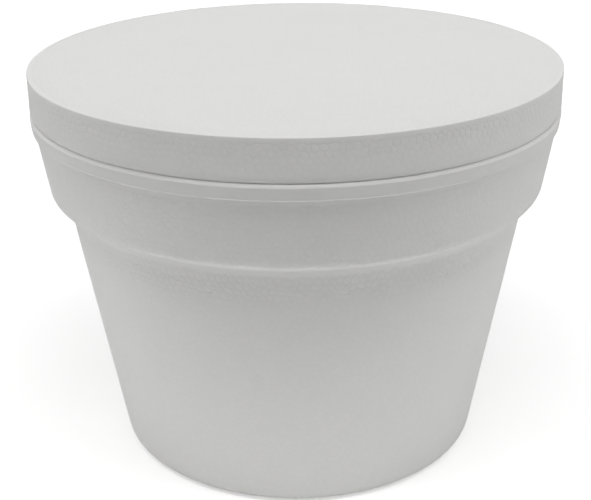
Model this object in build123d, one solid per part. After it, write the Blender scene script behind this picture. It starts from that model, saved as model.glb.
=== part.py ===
from build123d import *
import os
from math import radians, tan

# Round foam food container: a tapered tub with a stepped collar, closed by a push-on lid.
# Each piece is one bead-foam moulding, round about the Z axis.
# Lengths are in millimetres and angles in degrees. The origin is the centre of the base.

# Lid, outside
lid_radius = 58.0
lid_height = 8.9
lid_taper = 0.6
lid_edge_bevel = 0.4
lid_foot_bevel = 0.9

# Lid, underside: a shallow recess leaves a flat plate with a skirt round it
plate_thickness = 4.2
skirt_wall = 3.0
recess_bevel = 0.8
skirt_lead_in = 0.6

# Fit of the lid on the neck of the tub
lid_clearance = 0.3
neck_gap = 0.3
neck_draft = 2.0

# Neck, the low wall that stands up inside the skirt
neck_wall = 3.0
neck_bevel = 0.8

# Rim, the band under the lid, with a fine step round its upper edge
rim_overhang = 0.15
rim_height = 3.4
rim_taper = 6.0
rim_step_width = 0.7
rim_step_drop = 0.3
rim_bevel = 0.4
rim_foot_bevel = 0.3

# Collar, the wide tapered band under the rim
collar_setback = 0.5
collar_height = 14.85
collar_taper = 9.2
collar_foot_rounding = 2.4

# Shoulder, where the collar steps in to the body
shoulder_width = 3.4
shoulder_slope = 20.0
shoulder_root_bevel = 0.8

# Body
body_height = 59.5
body_taper = 9.9
base_bevel = 2.0

# Foot, the ring round the hollow of the base
foot_width = 8.0
foot_height = 1.2
foot_draft = 15.0
foot_bevel = 0.5

# Inside of the tub
body_wall = 3.5
floor_thickness = 5.0
floor_bevel = 3.0
bore_draft = 2.0
ledge_thickness = 3.6
ledge_bevel = 1.0
ledge_root_bevel = 0.8

# Round mark of the nozzle that blows the beads into the mould
fill_mark_radius = 6.0
fill_mark_depth = 0.4
fill_mark_draft = 30.0


def narrowed(radius, drop, draft):
    """Radius of a drafted wall, a given drop below the level where it has the given radius."""
    return radius - drop * tan(radians(draft))


def crossing(wall_point, wall_draft, slope_point, slope_angle):
    """Radius and height at which a drafted wall meets a sloping surface."""
    wall_run = tan(radians(wall_draft))
    rise = tan(radians(slope_angle))
    wall_radius, wall_height = wall_point
    slope_radius, slope_height = slope_point
    level = slope_height + (wall_radius - wall_run * wall_height - slope_radius) * rise
    height = level / (1 - wall_run * rise)
    return wall_radius + (height - wall_height) * wall_run, height


# Heights above the base
collar_foot_height = body_height + shoulder_width * tan(radians(shoulder_slope))
rim_foot_height = collar_foot_height + collar_height
seat_height = rim_foot_height + rim_height
rim_step_height = seat_height - rim_step_drop
lid_top_height = seat_height + lid_height
recess_height = lid_top_height - plate_thickness
neck_top_height = recess_height - neck_gap

# Radii of the lid
lid_foot_radius = narrowed(lid_radius, lid_height, lid_taper)
skirt_bore_radius = lid_foot_radius - skirt_wall
recess_radius = narrowed(skirt_bore_radius, recess_height - seat_height, neck_draft)

# Radii of the outside of the tub, from the neck down
neck_foot_radius = skirt_bore_radius - lid_clearance
neck_top_radius = narrowed(neck_foot_radius, neck_top_height - seat_height, neck_draft)
rim_radius = lid_foot_radius + rim_overhang
rim_step_radius = rim_radius - rim_step_width
rim_foot_radius = narrowed(rim_radius, rim_step_height - rim_foot_height, rim_taper)
collar_radius = rim_foot_radius - collar_setback
collar_foot_radius = narrowed(collar_radius, collar_height, collar_taper)
body_radius = collar_foot_radius - shoulder_width
base_radius = narrowed(body_radius, body_height, body_taper)
foot_bore_radius = base_radius - foot_width
hollow_radius = narrowed(foot_bore_radius, foot_height, foot_draft)

# Radii of the inside of the tub
bore_radius = neck_top_radius - neck_wall
floor_radius = base_radius - body_wall + floor_thickness * tan(radians(body_taper))


def turned(corners):
    """Solid turned about Z from the corners (radius, height) of half its section.

    A corner may also name how it is broken, by a fillet or a chamfer, and its size.
    """
    with BuildPart() as piece:
        with BuildSketch(Plane.XZ) as section:
            with BuildLine():
                Polyline([corner[:2] for corner in corners], close=True)
            make_face()
            for radius, height, *broken in corners:
                if broken:
                    blend, size = broken
                    corner = section.vertices().sort_by_distance((radius, height))[0]
                    blend(corner, size)
        revolve(axis=Axis.Z)
    return piece.part


def fill_mark(height):
    """Corners of the shallow round mark in the middle of a face that looks down."""
    floor = narrowed(fill_mark_radius, fill_mark_depth, fill_mark_draft)
    top = height + fill_mark_depth
    return [(0, top), (floor, top), (fill_mark_radius, height)]


def tub():
    """Tapered tub: foot, body, shoulder, collar, rim and neck outside, a stepped bore inside."""
    ledge_level = (collar_foot_radius, collar_foot_height + ledge_thickness)
    bore_foot = crossing((bore_radius, neck_top_height), bore_draft, ledge_level, shoulder_slope)
    ledge_foot = crossing((floor_radius, floor_thickness), body_taper, ledge_level, shoulder_slope)
    hollow = [
        *fill_mark(foot_height),
        (hollow_radius, foot_height),
        (foot_bore_radius, 0, chamfer, foot_bevel),
    ]
    outside = [
        (base_radius, 0, chamfer, base_bevel),
        (body_radius, body_height, chamfer, shoulder_root_bevel),
        (collar_foot_radius, collar_foot_height, fillet, collar_foot_rounding),
        (collar_radius, rim_foot_height),
        (rim_foot_radius, rim_foot_height, chamfer, rim_foot_bevel),
        (rim_radius, rim_step_height, chamfer, rim_bevel),
    ]
    seat = [
        (rim_step_radius, rim_step_height),
        (rim_step_radius, seat_height),
        (neck_foot_radius, seat_height),
        (neck_top_radius, neck_top_height, chamfer, neck_bevel),
    ]
    inside = [
        (bore_radius, neck_top_height, chamfer, neck_bevel),
        (*bore_foot, chamfer, ledge_root_bevel),
        (*ledge_foot, chamfer, ledge_bevel),
        (floor_radius, floor_thickness, chamfer, floor_bevel),
        (0, floor_thickness),
    ]
    return turned(hollow + outside + seat + inside)


def lid():
    """Push-on lid: a flat plate whose skirt sits on the rim, round the neck of the tub."""
    outside = [
        (0, lid_top_height),
        (lid_radius, lid_top_height, chamfer, lid_edge_bevel),
        (lid_foot_radius, seat_height, chamfer, lid_foot_bevel),
    ]
    underside = [
        (skirt_bore_radius, seat_height, chamfer, skirt_lead_in),
        (recess_radius, recess_height, chamfer, recess_bevel),
        *reversed(fill_mark(recess_height)),
    ]
    return turned(outside + underside)


os.makedirs("parts", exist_ok=True)
export_step(tub(), "parts/tub.step")
export_step(lid(), "parts/lid.step")
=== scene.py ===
from math import atan2, pi, radians

import bpy
import numpy as np
from mathutils import Matrix, Vector
from mathutils.geometry import delaunay_2d_cdt


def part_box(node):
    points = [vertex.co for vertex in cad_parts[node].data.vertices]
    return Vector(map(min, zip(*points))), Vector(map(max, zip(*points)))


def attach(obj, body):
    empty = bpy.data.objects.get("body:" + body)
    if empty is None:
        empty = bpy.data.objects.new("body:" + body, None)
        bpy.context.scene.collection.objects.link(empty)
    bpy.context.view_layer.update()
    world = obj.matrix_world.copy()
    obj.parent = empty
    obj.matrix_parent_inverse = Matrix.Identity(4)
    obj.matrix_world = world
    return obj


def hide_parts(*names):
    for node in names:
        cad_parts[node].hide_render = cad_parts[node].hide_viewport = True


# Round foam food container: a tub and its push-on lid, each moulded from expanded beads.
# Lengths are in metres. Every size of the two pieces is read from the CAD frame.

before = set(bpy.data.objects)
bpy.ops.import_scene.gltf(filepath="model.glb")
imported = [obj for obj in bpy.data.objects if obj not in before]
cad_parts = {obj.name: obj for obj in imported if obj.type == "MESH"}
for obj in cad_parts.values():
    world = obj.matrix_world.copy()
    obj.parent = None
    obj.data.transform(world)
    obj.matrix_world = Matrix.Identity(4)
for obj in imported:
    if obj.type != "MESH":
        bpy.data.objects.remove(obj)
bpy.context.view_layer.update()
MM = 0.001

# The beads of the foam, and how far their surface departs from the mould's
BEAD_SIZE = 1.5 * MM
INNER_BEAD_SIZE = 1.75 * MM
BEAD_SHIFT = 0.33
BEAD_DISH = 0.015 * MM
GROOVE_DEPTH = 0.04 * MM
PIT_SHARE = 0.02
PIT_DEPTH = 0.14 * MM
GROOVE_SPREAD = (0.6, 1.4)
PIT_SPREAD = (0.5, 1.4)
WAVE_DEPTH = 0.12 * MM
WAVE_LENGTHS_MM = (6, 9, 14, 19, 27, 41)

# Rows of beads next to a ring or the axis, in shares of a bead
FIRST_ROW = 0.8
LAST_ROW = 0.7
NEAREST_ROW = 0.6
AXIS_REACH = 4 * BEAD_SIZE

# How the outline is softened and divided
CORNER_TURN = radians(18)
SHARP_TURN = radians(30)
SHARP_RADIUS = 2.0 * MM
SAME_TURN = radians(2)
LONGEST_BEVEL = 5.0 * MM
LEG_SHARE = 1.4
EDGE_RADIUS = 0.15 * MM
TURN_STEP = radians(16)
EDGE_MARGIN = 0.45 * MM
SHORTEST_RUN = 2.6 * MM
STRIP_STEP = 0.8 * MM
STRIP_SPACING = 1.5 * MM
CORNER_ROOM = 0.96
FLAT_STEP = 0.2 * MM

# The foam's finish
FOAM_COLOUR = (0.94, 0.937, 0.915)
FOAM_ROUGHNESS = 0.38
SCATTER_SHARE = 0.3
SCATTER_COLOUR = (1.0, 0.98, 0.95)
SCATTER_REACH = 1.2 * MM
GROOVE_WIDTH = 0.45
DARKEST_BEAD = 0.99
# Painted shade: the colour along each bead's groove is darkened down to this share.
DARKEST_PAINTED_GROOVE_SHADE = 0.985
CLOUD_TONES = (0.98, 1.01)
CLOUD_SCALE = 60
GRAIN_SCALE = 1400
GRAIN_STRENGTH = 0.3
BUMP_HEIGHT = 0.05 * MM

# The floor, its glow to the camera near the object and further off, and the studio
FLOOR_HALF = 4.0
FLOOR_TONE = 0.85
GLOW_REACH = (0.1, 0.6)
GLOW = (0.45, 1.0)
MIDDLE = (0, 0, 0.05)
BROAD = (1.0, 0.5)
FLANK = (0.8, 0.6)
STRIP_HEIGHT = 0.008

# The camera, measured from the axis and the lid's top
LENS = 76.14
CAMERA_SIDE = -0.35 * MM
CAMERA_BACK = -268.9 * MM
CAMERA_RISE = 67.5 * MM
CAMERA_DOWN = radians(22.88)
CAMERA_ROLL = radians(-0.64)


def sliced(node):
    """Segments (radius, height) where a half plane through the axis cuts a turned node."""
    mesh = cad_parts[node].data
    mesh.calc_loop_triangles()
    points = np.empty(len(mesh.vertices) * 3)
    mesh.vertices.foreach_get("co", points)
    points = points.reshape(-1, 3)
    corners = np.empty(len(mesh.loop_triangles) * 3, dtype=int)
    mesh.loop_triangles.foreach_get("vertices", corners)
    # The half plane is turned by a hair, so that it passes between the points.
    side = points[:, 1] - 1e-6 * points[:, 0] - 1e-12
    segments = []
    for triangle in corners.reshape(-1, 3):
        ahead = side[triangle] > 0
        if ahead.all() or not ahead.any():
            continue
        cuts = []
        for a, b in ((0, 1), (1, 2), (2, 0)):
            if ahead[a] != ahead[b]:
                start, end = points[triangle[a]], points[triangle[b]]
                share = side[triangle[a]] / (side[triangle[a]] - side[triangle[b]])
                cuts.append(start + (end - start) * share)
        first, last = sorted(cuts, key=lambda point: point[0])
        if last[0] <= 0:
            continue
        if first[0] < 0:
            share = first[0] / (first[0] - last[0])
            first = first + (last - first) * share
        segments.append(((first[0], first[2]), (last[0], last[2])))
    return segments


def chained(segments):
    """Points of the segments in order, from the lower end on the axis to the upper one."""
    left = [np.array(segment) for segment in segments]
    ends = [(segment[k][1], i, k) for i, segment in enumerate(left) for k in (0, 1)
            if segment[k][0] < 1e-7]
    _, index, k = min(ends)
    segment = left.pop(index)
    chain = [segment[k], segment[1 - k]]
    while left:
        starts = np.array([segment for segment in left]).reshape(-1, 2)
        gaps = np.hypot(*(starts - chain[-1]).T)
        nearest = int(gaps.argmin())
        segment = left.pop(nearest // 2)
        chain.append(segment[1 - nearest % 2])
    return np.array(chain)


def without_midpoints(points, slack=2e-6):
    """The points without those that lie on the line between their neighbours."""
    kept = [points[0]]
    for here, after in zip(points[1:-1], points[2:]):
        run = after - kept[-1]
        length = np.hypot(*run)
        off = abs(np.cross(run, here - kept[-1])) / max(length, 1e-12)
        if off > slack and np.hypot(*(here - kept[-1])) > slack:
            kept.append(here)
    kept.append(points[-1])
    return np.array(kept)


def moved(points, moves):
    """The points, those nearest to the first place of each move shifted to its second."""
    points = points.copy()
    for place, goal in moves:
        points[np.hypot(*(points - place).T).argmin()] = goal
    return points


def turn_at(before, here, after):
    """Angle between the side that comes to a corner and the one that leaves it."""
    a, b = here - before, after - here
    return atan2(np.cross(a, b), np.dot(a, b))


def crossing(start, along, end, back):
    """Point where the line from start along one way meets the line from end back another."""
    share = np.cross(end - start, back) / np.cross(along, back)
    return start + along * share


def unbevelled(points):
    """Corners of the outline, each with its bevel's leg: a bevel's two ends become one."""
    turns = [0, *(turn_at(*points[i - 1:i + 2]) for i in range(1, len(points) - 1)), 0]
    corners = []
    i = 0
    while i < len(points):
        bevel = (
            0 < i < len(points) - 2 and abs(turns[i]) > CORNER_TURN
            and abs(turns[i] - turns[i + 1]) < SAME_TURN
            and np.hypot(*(points[i + 1] - points[i])) < LONGEST_BEVEL)
        if bevel:
            tip = crossing(points[i], points[i] - points[i - 1],
                           points[i + 1], points[i + 1] - points[i + 2])
            corners.append((tip, np.hypot(*(tip - points[i]))))
            i += 2
        else:
            corners.append((points[i], 0))
            i += 1
    return corners


def softened(points, edges):
    """The outline with its corners rounded, the lengths along it, and its corners.

    Each corner is its first and last place along the outline, and whether it is sharp.
    The edges name roundings of their own for the corners nearest to the given points.
    """
    corners = unbevelled(points)
    tips = np.array([tip for tip, _ in corners])
    turns = np.array([0, *(turn_at(*tips[i - 1:i + 2]) for i in range(1, len(tips) - 1)), 0])
    radii = np.array([max(leg * LEG_SHARE, EDGE_RADIUS) for _, leg in corners])
    for place, radius in edges:
        radii[np.hypot(*(tips - place).T).argmin()] = radius
    radii[abs(turns) < CORNER_TURN] = 0
    backs = radii * np.tan(abs(turns) / 2)
    lengths = np.hypot(*np.diff(tips, axis=0).T)
    room = np.minimum(CORNER_ROOM * lengths / np.maximum(backs[:-1] + backs[1:], 1e-9), 1)
    backs[1:-1] *= np.minimum(room[:-1], room[1:])
    line = [tips[0]]
    spans = []
    for i in range(1, len(tips) - 1):
        turn, back, here = turns[i], backs[i], tips[i]
        if back <= 0:
            line.append(here)
            continue
        heading = (here - tips[i - 1]) / lengths[i - 1]
        across = np.array((-heading[1], heading[0])) * np.sign(turn)
        radius = back / np.tan(abs(turn) / 2)
        start = here - heading * back
        steps = max(2, int(np.ceil(abs(turn) / TURN_STEP)))
        spoke = -across * radius
        for k in range(steps + 1):
            angle = turn * k / steps
            line.append(start - spoke + np.array((
                spoke[0] * np.cos(angle) - spoke[1] * np.sin(angle),
                spoke[0] * np.sin(angle) + spoke[1] * np.cos(angle))))
        sharp = abs(turn) > SHARP_TURN and radius < SHARP_RADIUS
        spans.append((len(line) - steps - 1, len(line) - 1, sharp))
    line.append(tips[-1])
    line = np.array(line)
    along = np.concatenate(((0,), np.cumsum(np.hypot(*np.diff(line, axis=0).T))))
    return line, along, [(along[a], along[b], sharp) for a, b, sharp in spans]


def edge_stretches(corners, length):
    """Stretches of the outline round its sharp corners, the near ones joined."""
    stretches = []
    for start, end, sharp in corners:
        if not sharp:
            continue
        start, end = max(start - EDGE_MARGIN, 0), min(end + EDGE_MARGIN, length)
        if stretches and start - stretches[-1][1] < SHORTEST_RUN:
            stretches[-1][1] = end
        else:
            stretches.append([start, end])
    return stretches


class Skin:
    """The surface of one turned piece: strips of rings at its edges, beads between them."""

    def __init__(self, node, seed, finish, edges, moves):
        self.node = node
        self.random = np.random.default_rng(seed)
        outline = moved(without_midpoints(chained(sliced(node))), moves)
        self.line, self.along, corners = softened(outline, edges)
        self.length = self.along[-1]
        middles = [0, *((start + end) / 2 for start, end, _ in corners), self.length]
        self.sides = list(zip(middles[:-1], middles[1:]))
        self.sizes, self.reliefs = finish(self)
        self.place, self.turn, self.depth, self.bead = [], [], [], []
        self.count = 0
        self.faces, self.face_bead = [], []
        stretches = edge_stretches(corners, self.length)
        before = None
        reached = 0.0
        for start, end in stretches:
            count = int(round(2 * pi * self.at((start + end) / 2)[0] / STRIP_SPACING / 2)) * 2
            first, last = self.strip(start, end, count)
            self.beads(reached, start, before, first)
            before, reached = last, end
        self.beads(reached, self.length, before, None)

    def at(self, place):
        """Radius and height at a place along the outline."""
        return np.array((np.interp(place, self.along, self.line[:, 0]),
                         np.interp(place, self.along, self.line[:, 1])))

    def outward(self, place):
        """Direction (radius, height) that points out of the piece at a place."""
        step = 0.02 * MM
        low = self.at(np.maximum(np.asarray(place) - step, 0))
        high = self.at(np.minimum(np.asarray(place) + step, self.length))
        run = high - low
        return np.array((run[1], -run[0])) / np.hypot(*run)

    def bead_size(self, place):
        """Size of the beads at a place along the outline."""
        return np.interp(place, *zip(*self.sizes))

    def relief(self, place):
        """How much the surface departs from the mould's at a place along the outline."""
        return np.interp(place, *zip(*self.reliefs))

    def level_side(self, height):
        """The side of the outline that lies at a height."""
        return min(self.sides, key=lambda side: sum(abs(self.at(np.array(side))[1] - height)))

    def add(self, place, turn, depth, bead):
        """Adds points and returns their numbers."""
        numbers = np.arange(self.count, self.count + len(place))
        self.count += len(place)
        self.place.append(np.asarray(place, float))
        self.turn.append(np.asarray(turn, float))
        self.depth.append(np.asarray(depth, float))
        self.bead.append(np.asarray(bead, float))
        return numbers

    def strip(self, start, end, count):
        """Rings of quads from start to end. Returns the first and the last ring."""
        corners = [start, *self.along[(self.along > start) & (self.along < end)], end]
        places = [start]
        for a, b in zip(corners[:-1], corners[1:]):
            steps = max(1, int(np.ceil((b - a) / STRIP_STEP)))
            places += [a + (b - a) * k / steps for k in range(1, steps + 1)]
        turns = np.arange(count) * 2 * pi / count
        rings = []
        for place in places:
            rings.append(self.add(np.full(count, place), turns, np.zeros(count), np.ones(count)))
        for low, high in zip(rings[:-1], rings[1:]):
            quads = np.stack((low, np.roll(low, -1), np.roll(high, -1), high), 1)
            self.faces += quads.tolist()
            self.face_bead += low.tolist()
        return rings[0], rings[-1]

    def scattered(self, start, end, closed_start, closed_end):
        """Places and turns of the bead centres between two places of the outline."""
        places, turns = [], []
        place = start + (FIRST_ROW * self.bead_size(start) if closed_start else 0)
        if not closed_start:
            places.append(np.array((start + 1e-6,)))
            turns.append(np.zeros(1))
            place = start + self.bead_size(start)
        stop = end - (LAST_ROW * self.bead_size(end) if closed_end else 0)
        while place < stop:
            radius = self.at(place)[0]
            size = self.bead_size(place)
            if radius > NEAREST_ROW * size:
                count = max(3, int(round(2 * pi * radius / size)))
                turn = (np.arange(count) + self.random.random()) * 2 * pi / count
                shift = self.random.uniform(-BEAD_SHIFT, BEAD_SHIFT, (2, count)) * size
                turn = turn + shift[0] / radius
                row = np.clip(place + shift[1], start + 1e-6, end - 1e-6)
                if closed_start:
                    row = np.maximum(row, start + NEAREST_ROW * size)
                if closed_end:
                    row = np.minimum(row, end - NEAREST_ROW * size)
                places.append(row)
                turns.append(turn)
            place += size * 3 ** 0.5 / 2
        if not closed_end:
            places.append(np.array((end - 1e-6,)))
            turns.append(np.zeros(1))
        return np.concatenate(places), np.concatenate(turns)

    def flattened(self, start, end, place):
        """Radius of the places on a flat map of the stretch that keeps the beads' shape."""
        samples = np.linspace(start, end, int((end - start) / FLAT_STEP) + 2)
        radius = np.maximum(self.at(samples)[0], FLAT_STEP)
        steps = np.diff(samples) * (1 / radius[:-1] + 1 / radius[1:]) / 2
        spread = np.concatenate(((0,), np.cumsum(steps)))
        if self.at(end)[0] < 1e-6:
            return np.exp(-(np.interp(place, samples, spread) - spread[-1])) - 1
        if self.at(start)[0] < 1e-6:
            return np.exp(np.interp(place, samples, spread)) - 1
        return np.exp(np.interp(place, samples, spread))

    def beads(self, start, end, first, last):
        """Beads between two rings, or between a ring and the axis."""
        if end - start < 1e-6:
            return
        place, turn = self.scattered(start, end, first is not None, last is not None)
        dish = self.random.random(len(place)) * BEAD_DISH * self.relief(place)
        centres = self.add(place, turn, dish, np.ones(len(place)))
        numbers = np.concatenate([ring for ring in (first, centres, last) if ring is not None])
        places = np.concatenate(self.place)[numbers]
        turns = np.concatenate(self.turn)[numbers]
        spread = self.flattened(start, end, places)
        flat = np.stack((spread * np.cos(turns), spread * np.sin(turns)), 1)
        flat /= np.abs(flat).max()
        made = delaunay_2d_cdt([Vector(point) for point in flat.tolist()], [], [], 0, 1e-9)
        origin = np.array([source[0] for source in made[3]])
        triangles = origin[np.array(made[2])]
        # The map's hole inside the inner ring is left open.
        for ring in (first, last):
            if ring is not None:
                spots = np.flatnonzero(np.isin(numbers, ring))
                inner = spread[spots].max() < spread.max() - 1e-9
                if inner:
                    on_ring = np.isin(triangles, spots).all(axis=1)
                    triangles = triangles[~on_ring]
        self.divide(numbers[triangles])

    def divide(self, triangles):
        """Turns triangles of bead centres into beads, with a groove along each border."""
        places = np.concatenate(self.place)
        turns = np.concatenate(self.turn)
        at = places[triangles]
        round_at = turns[triangles]
        radius = self.at(at)[0]
        x = (radius * np.cos(round_at)).mean(axis=1)
        y = (radius * np.sin(round_at)).mean(axis=1)
        mid = at.mean(axis=1)
        near_axis = radius.max(axis=1) < AXIS_REACH
        flat = np.hypot(x, y)
        from_start = near_axis & (mid < self.length / 2)
        from_end = near_axis & (mid > self.length / 2)
        mid = np.where(from_start, flat, np.where(from_end, self.length - flat, mid))
        size = self.relief(mid)
        depth = GROOVE_DEPTH * self.random.uniform(*GROOVE_SPREAD, len(mid)) * size
        pitted = self.random.random(len(mid)) < PIT_SHARE * size
        pits = PIT_DEPTH * self.random.uniform(*PIT_SPREAD, len(mid))
        depth = np.where(pitted, pits, depth)
        centres = self.add(mid, np.arctan2(y, x), depth, np.zeros(len(mid)))
        edges = np.concatenate((triangles[:, (0, 1)], triangles[:, (1, 2)], triangles[:, (2, 0)]))
        owner = np.tile(centres, 3)
        low, high = edges.min(axis=1), edges.max(axis=1)
        order = np.lexsort((high, low))
        low, high, owner = low[order], high[order], owner[order]
        paired = np.zeros(len(low), dtype=bool)
        paired[:-1] = (low[:-1] == low[1:]) & (high[:-1] == high[1:])
        second = np.zeros(len(low), dtype=bool)
        second[1:] = paired[:-1]
        alone = ~paired & ~second
        one = np.flatnonzero(paired)
        for bead in (low, high):
            faces = np.stack((bead[one], owner[one], owner[one + 1]), 1)
            self.faces += faces.tolist()
            self.face_bead += bead[one].tolist()
        faces = np.stack((low[alone], high[alone], owner[alone]), 1)
        self.faces += faces.tolist()
        self.face_bead += low[alone].tolist()

    def waves(self, points):
        """Slow unevenness of the moulded surface, from 0 to 1."""
        total = np.zeros(len(points))
        for length in WAVE_LENGTHS_MM:
            heading = self.random.normal(size=3)
            heading *= 2 * pi / (length * MM * np.linalg.norm(heading))
            share = length ** 0.5 / 6
            total += share * np.sin(points @ heading + self.random.uniform(0, 2 * pi))
        return 0.5 + total / 8

    def piece(self, body, material):
        """The finished piece, in place of its CAD node."""
        place = np.concatenate(self.place)
        turn = np.concatenate(self.turn)
        radius, height = self.at(place)
        out, up = self.outward(place)
        east, north = np.cos(turn), np.sin(turn)
        points = np.stack((radius * east, radius * north, height), 1)
        outward = np.stack((out * east, out * north, up), 1)
        depth = np.concatenate(self.depth) + WAVE_DEPTH * self.waves(points) * self.relief(place)
        points = points - outward * depth[:, None]
        faces = []
        for face in self.faces:
            a, b, c = points[face[0]], points[face[1]], points[face[2]]
            normal = np.cross(b - a, c - a)
            faces.append(face if np.dot(normal, outward[face[0]]) > 0 else face[::-1])
        mesh = bpy.data.meshes.new(self.node + "_foam")
        mesh.from_pydata(points.tolist(), [], faces)
        mesh.validate()
        mesh.polygons.foreach_set("use_smooth", np.ones(len(mesh.polygons), dtype=bool))
        bead = mesh.attributes.new("bead", "FLOAT", "POINT")
        bead.data.foreach_set("value", np.concatenate(self.bead))
        tone = mesh.attributes.new("tone", "FLOAT", "FACE")
        tones = self.random.random(self.count)
        tone.data.foreach_set("value", tones[np.array(self.face_bead)])
        relief = mesh.attributes.new("relief", "FLOAT", "POINT")
        relief.data.foreach_set("value", self.relief(place))
        mesh.materials.append(material)
        made = bpy.data.objects.new(self.node + "_foam", mesh)
        bpy.context.scene.collection.objects.link(made)
        weighted = made.modifiers.new("flat sides", "WEIGHTED_NORMAL")
        weighted.keep_sharp = False
        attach(made, body)
        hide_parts(self.node)
        return made


def attribute(nodes, name):
    """Value that the surface holds under a name."""
    node = nodes.new("ShaderNodeAttribute")
    node.attribute_name = name
    return node.outputs["Fac"]


def noise(nodes, links, place, scale, detail):
    """Even noise over the object."""
    node = nodes.new("ShaderNodeTexNoise")
    node.inputs["Scale"].default_value = scale
    node.inputs["Detail"].default_value = detail
    links.new(place, node.inputs["Vector"])
    return node.outputs["Fac"]


def ranged(nodes, links, value, low, high):
    """The value, which runs from 0 to 1, brought to run from low to high."""
    node = nodes.new("ShaderNodeMapRange")
    node.inputs["To Min"].default_value = low
    node.inputs["To Max"].default_value = high
    links.new(value, node.inputs["Value"])
    return node.outputs["Result"]


def product(nodes, links, first, second):
    """The two values multiplied."""
    node = nodes.new("ShaderNodeMath")
    node.operation = "MULTIPLY"
    links.new(first, node.inputs[0])
    links.new(second, node.inputs[1])
    return node.outputs["Value"]


def bead_foam():
    """White expanded bead foam, with a groove round each bead and painted shade along it."""
    material = bpy.data.materials.new("white_bead_foam")
    material.use_nodes = True
    nodes, links = material.node_tree.nodes, material.node_tree.links
    shader = nodes["Principled BSDF"]
    shader.inputs["Roughness"].default_value = FOAM_ROUGHNESS
    shader.inputs["Subsurface Weight"].default_value = SCATTER_SHARE
    shader.inputs["Subsurface Radius"].default_value = SCATTER_COLOUR
    shader.inputs["Subsurface Scale"].default_value = SCATTER_REACH

    groove = nodes.new("ShaderNodeMapRange")
    groove.interpolation_type = "SMOOTHSTEP"
    groove.inputs["From Max"].default_value = GROOVE_WIDTH
    links.new(attribute(nodes, "bead"), groove.inputs["Value"])
    place = nodes.new("ShaderNodeTexCoord").outputs["Object"]
    grain = noise(nodes, links, place, GRAIN_SCALE, 3)
    cloud = noise(nodes, links, place, CLOUD_SCALE, 2)

    bead_tone = ranged(nodes, links, attribute(nodes, "tone"), DARKEST_BEAD, 1)
    # Painted shade in the grooves: the colour darkens where the groove mask is strong.
    groove_painted_shade = ranged(nodes, links, groove.outputs["Result"], DARKEST_PAINTED_GROOVE_SHADE, 1)
    cloud_tone = ranged(nodes, links, cloud, *CLOUD_TONES)
    tones = product(nodes, links, bead_tone, groove_painted_shade)
    colour = nodes.new("ShaderNodeVectorMath")
    colour.operation = "SCALE"
    colour.inputs[0].default_value = FOAM_COLOUR
    links.new(product(nodes, links, tones, cloud_tone), colour.inputs["Scale"])
    links.new(colour.outputs["Vector"], shader.inputs["Base Color"])

    groove_bump = nodes.new("ShaderNodeBump")
    groove_bump.inputs["Distance"].default_value = BUMP_HEIGHT
    links.new(attribute(nodes, "relief"), groove_bump.inputs["Strength"])
    links.new(groove.outputs["Result"], groove_bump.inputs["Height"])
    grain_bump = nodes.new("ShaderNodeBump")
    grain_bump.inputs["Strength"].default_value = GRAIN_STRENGTH
    grain_bump.inputs["Distance"].default_value = BUMP_HEIGHT
    links.new(grain, grain_bump.inputs["Height"])
    links.new(groove_bump.outputs["Normal"], grain_bump.inputs["Normal"])
    links.new(grain_bump.outputs["Normal"], shader.inputs["Normal"])
    return material


def floor_paint():
    """Pale floor that shows as white to the camera and keeps the object's shadow."""
    material = bpy.data.materials.new("pale_floor")
    material.use_nodes = True
    nodes, links = material.node_tree.nodes, material.node_tree.links
    nodes.clear()
    paint = nodes.new("ShaderNodeBsdfDiffuse")
    paint.inputs["Color"].default_value = (FLOOR_TONE, FLOOR_TONE, FLOOR_TONE, 1)
    place = nodes.new("ShaderNodeNewGeometry")
    reach = nodes.new("ShaderNodeVectorMath")
    reach.operation = "LENGTH"
    links.new(place.outputs["Position"], reach.inputs[0])
    fade = nodes.new("ShaderNodeMapRange")
    fade.inputs["From Min"].default_value = GLOW_REACH[0]
    fade.inputs["From Max"].default_value = GLOW_REACH[1]
    fade.inputs["To Min"].default_value = GLOW[0]
    fade.inputs["To Max"].default_value = GLOW[1]
    links.new(reach.outputs["Value"], fade.inputs["Value"])
    path = nodes.new("ShaderNodeLightPath")
    glow = nodes.new("ShaderNodeEmission")
    seen = product(nodes, links, fade.outputs["Result"], path.outputs["Is Camera Ray"])
    links.new(seen, glow.inputs["Strength"])
    both = nodes.new("ShaderNodeAddShader")
    links.new(paint.outputs["BSDF"], both.inputs[0])
    links.new(glow.outputs["Emission"], both.inputs[1])
    output = nodes.new("ShaderNodeOutputMaterial")
    links.new(both.outputs["Shader"], output.inputs["Surface"])
    return material


def floor():
    """Floor under the object."""
    half = FLOOR_HALF
    corners = [(-half, -half, 0), (half, -half, 0), (half, half, 0), (-half, half, 0)]
    mesh = bpy.data.meshes.new("floor")
    mesh.from_pydata(corners, [], [(0, 1, 2, 3)])
    mesh.materials.append(floor_paint())
    made = bpy.data.objects.new("floor", mesh)
    bpy.context.scene.collection.objects.link(made)


def softbox(name, place, target, size, power):
    """Area lamp at a place, turned to a target."""
    lamp = bpy.data.lights.new(name, "AREA")
    lamp.shape = "RECTANGLE"
    lamp.size, lamp.size_y = size
    lamp.energy = power
    made = bpy.data.objects.new(name, lamp)
    made.location = place
    made.rotation_euler = (Vector(target) - Vector(place)).to_track_quat("-Z", "Y").to_euler()
    made.visible_camera = False
    bpy.context.scene.collection.objects.link(made)


def strip_light(name, east, north, width, power):
    """Low lamp close to the foot of the tub, in place of light thrown back by a table."""
    softbox(name, (east, north, STRIP_HEIGHT), (0, 0, STRIP_HEIGHT), (width, 0.012), power)


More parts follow.
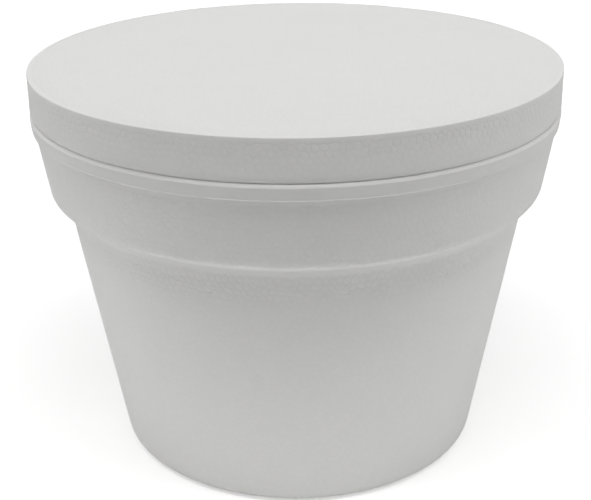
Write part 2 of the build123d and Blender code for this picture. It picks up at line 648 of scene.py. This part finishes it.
def studio():
    """Plain soft light from above, behind and each side, and a white room to look at."""
    softbox("back_softbox", (0, 1.0, 0.25), MIDDLE, BROAD, 1.95)
    softbox("top_softbox", (0, -0.25, 0.9), MIDDLE, (1.0, 0.2), 5.2)
    softbox("front_softbox", (0, -0.45, 0.7), MIDDLE, (0.3, 0.15), 0.3)
    softbox("left_softbox", (-0.8, 0.1, 0.3), MIDDLE, FLANK, 1.0)
    softbox("right_softbox", (0.8, 0.1, 0.3), MIDDLE, FLANK, 1.45)
    softbox("left_back_softbox", (-0.7, 0.6, 0.3), MIDDLE, FLANK, 1.4)
    softbox("right_back_softbox", (0.7, 0.6, 0.3), MIDDLE, FLANK, 0.8)
    strip_light("front_strip", 0, -0.095, 0.16, 0.006)
    strip_light("left_strip", -0.11, -0.035, 0.12, 0.006)
    strip_light("right_strip", 0.11, -0.035, 0.12, 0.003)
    world = bpy.data.worlds.new("white_room")
    bpy.context.scene.world = world
    world.use_nodes = True
    nodes, links = world.node_tree.nodes, world.node_tree.links
    room = nodes["Background"]
    room.inputs["Color"].default_value = (1, 1, 1, 1)
    path = nodes.new("ShaderNodeLightPath")
    strength = ranged(nodes, links, path.outputs["Is Camera Ray"], 0, 1)
    links.new(strength, room.inputs["Strength"])


def camera():
    """Camera at the photograph's viewing angle."""
    lens = bpy.data.cameras.new("camera")
    lens.lens = LENS
    lens.sensor_width = 36
    lens.clip_start = 0.01
    lens.clip_end = 50
    made = bpy.data.objects.new("camera", lens)
    lid_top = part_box("lid")[1][2]
    place = Matrix.Translation((CAMERA_SIDE, CAMERA_BACK, lid_top + CAMERA_RISE))
    pitch = Matrix.Rotation(pi / 2 - CAMERA_DOWN, 4, "X")
    roll = Matrix.Rotation(CAMERA_ROLL, 4, "Z")
    made.matrix_world = place @ pitch @ roll
    bpy.context.scene.collection.objects.link(made)
    bpy.context.scene.camera = made


camera()
studio()
floor()
foam = bead_foam()

seat_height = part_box("lid")[0][2]


def tub_finish(skin):
    """Sizes of the beads and relief along the tub's outline, as pairs of place and value.

    The relief is weak on the body, strong on the band under the shoulder and none where
    the lid rests. The beads inside are a little larger.
    """
    body_foot, shoulder = max(skin.sides, key=lambda side: side[1] - side[0])
    seat, seat_end = skin.level_side(seat_height)
    sizes = [(seat, BEAD_SIZE), (seat_end + 8 * MM, INNER_BEAD_SIZE)]
    reliefs = [(0, 0.6), (body_foot - 3 * MM, 0.6), (body_foot + 3 * MM, 0.35),
               (shoulder - 9 * MM, 0.35), (shoulder - 6 * MM, 1.2), (shoulder, 1.2),
               (shoulder + 8 * MM, 0.7), (seat - 5 * MM, 0.5), (seat - 1 * MM, 0),
               (seat_end, 0), (seat_end + 2 * MM, 0.7)]
    return sizes, reliefs


def lid_finish(skin):
    """Sizes of the beads and relief along the lid's outline, as pairs of place and value.

    The relief is strong at the top of the skirt, weak on the plate and none where the lid
    rests on the tub.
    """
    foot, foot_end = skin.level_side(seat_height)
    edge = skin.sides[-1][0]
    sizes = [(foot - 8 * MM, INNER_BEAD_SIZE), (foot, BEAD_SIZE)]
    reliefs = [(foot - 2 * MM, 0.7), (foot, 0), (foot_end + 1 * MM, 0), (foot_end + 3 * MM, 0.5),
               (edge - 4 * MM, 0.8), (edge - 2 * MM, 1.3), (edge, 1.0), (edge + 3 * MM, 0.4)]
    return sizes, reliefs


def rim_place(inset, drop):
    """Place (radius, height) by its distance in mm inside the rim and below the lid's seat."""
    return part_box("tub")[1][0] - inset * MM, seat_height - drop * MM


# The seam closes a little further out than in the CAD, as soft foam does, so that light
# reaches the step of the rim. Each corner has its place in the CAD and its place here.
step_top = (rim_place(0.66, 0), rim_place(0.42, 0))
step_foot = (rim_place(0.66, 0.3), rim_place(0.34, 0.2))
ledge_end = (rim_place(0.36, 0.3), rim_place(0.27, 0.24))
lid_foot = (rim_place(1.0, 0), rim_place(0.55, 0))
rim_side = rim_place(0, 0.7)
lid_edge = (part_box("lid")[1][0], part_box("lid")[1][2])

tub_moves = [step_top, step_foot, ledge_end]
tub_edges = [(step_top[1], 0.1 * MM), (ledge_end[1], 0.1 * MM), (rim_side, 0.4 * MM)]
lid_moves = [lid_foot]
lid_edges = [(lid_edge, 0.25 * MM)]
Skin("tub", 3, tub_finish, tub_edges, tub_moves).piece("tub", foam)
Skin("lid", 5, lid_finish, lid_edges, lid_moves).piece("lid", foam)

bpy.context.scene.view_settings.view_transform = "Standard"
